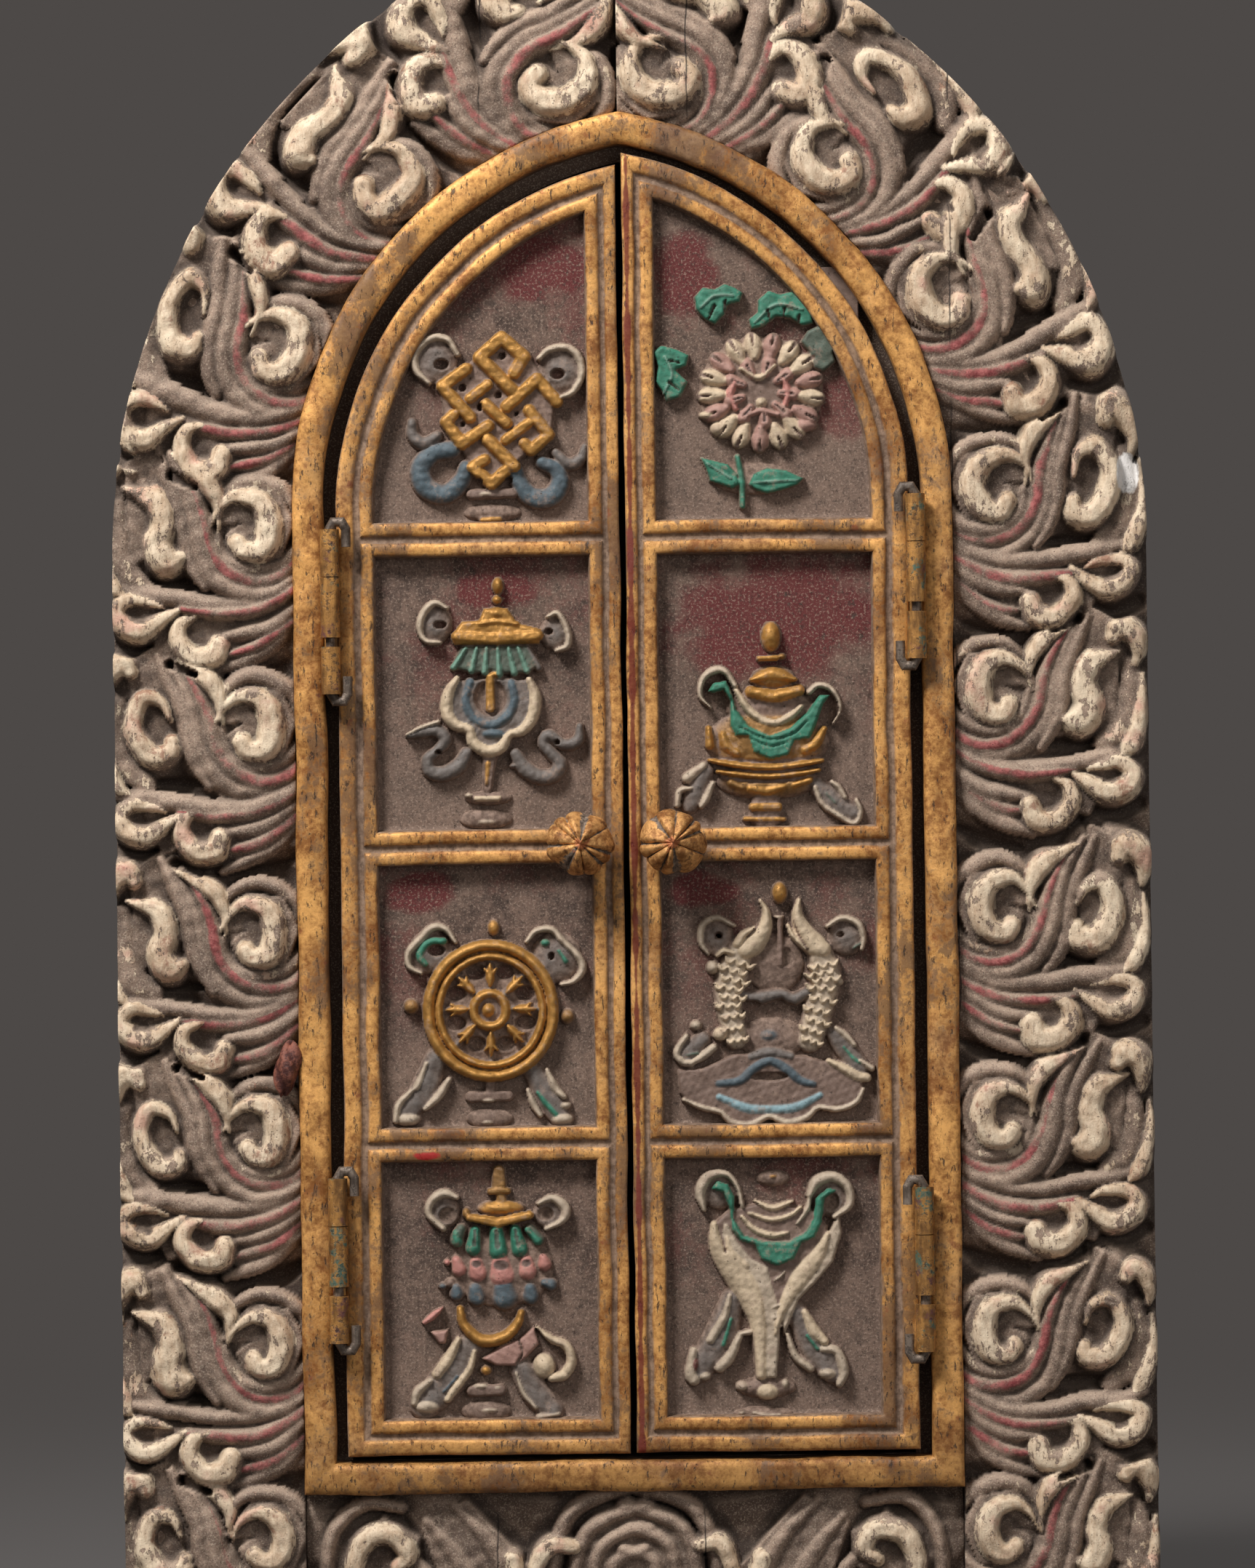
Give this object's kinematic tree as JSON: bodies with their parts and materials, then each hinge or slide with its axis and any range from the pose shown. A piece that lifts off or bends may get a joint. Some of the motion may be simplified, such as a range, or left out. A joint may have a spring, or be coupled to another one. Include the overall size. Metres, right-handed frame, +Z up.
{
  "type": "altar cabinet",
  "caption": "Small standing altar cabinet with a carved, painted arched front, two gilded panelled doors and a shallow plank case behind.",
  "frame": {"origin": "on the floor, under the middle of the cabinet's bounding box", "axes": "+Z up, +X to the viewer's right as seen from the front, and the carved front faces -Y"},
  "size_m": [0.33, 0.107, 0.5671],
  "materials": {
    "carved_wood": "painted, worn and dusty",
    "rim_gilding": "old gilding, satin",
    "door_gilding": "old gilding, satin",
    "knob_gilding": "old gilding, worn",
    "case_wood": "bare and darkened",
    "hinge_brass": "tarnished",
    "hinge_iron": "dark wire"
  },
  "bodies": {
    "cabinet": {"left_board": "carved_wood", "sill_board": "carved_wood", "crown_board": "carved_wood", "right_board": "carved_wood", "edge_board": "carved_wood", "rim_jamb_left": "rim_gilding", "rim_jamb_right": "rim_gilding", "rim_arch_left": "rim_gilding", "rim_arch_right": "rim_gilding", "rim_sill": "rim_gilding", "case_side_left": "case_wood", "case_side_right": "case_wood", "case_floor": "case_wood", "case_roof": "case_wood", "back_board_left": "case_wood", "back_board_middle": "case_wood", "back_board_right": "case_wood", "hinge_left_upper_jamb_half": "hinge_brass", "hinge_left_lower_jamb_half": "hinge_brass", "hinge_right_upper_jamb_half": "hinge_brass", "hinge_right_lower_jamb_half": "hinge_brass"},
    "left_door": {"door_left": "door_gilding", "knob_left": "knob_gilding", "hinge_left_upper_door_half": "hinge_brass", "hinge_left_upper_pin": "hinge_iron", "hinge_left_lower_door_half": "hinge_brass", "hinge_left_lower_pin": "hinge_iron"},
    "right_door": {"door_right": "door_gilding", "knob_right": "knob_gilding", "hinge_right_upper_door_half": "hinge_brass", "hinge_right_upper_pin": "hinge_iron", "hinge_right_lower_door_half": "hinge_brass", "hinge_right_lower_pin": "hinge_iron"}
  },
  "joints": [
    {"name": "left_door_hinge", "type": "hinge", "parent": "cabinet", "child": "left_door", "pos_m": [-0.0953, -0.0379, 0.24], "axis": [0, 0, -1], "range_deg": [0, 120]},
    {"name": "right_door_hinge", "type": "hinge", "parent": "cabinet", "child": "right_door", "pos_m": [0.0907, -0.0379, 0.24], "axis": [0, 0, 1], "range_deg": [0, 120]}
  ]
}
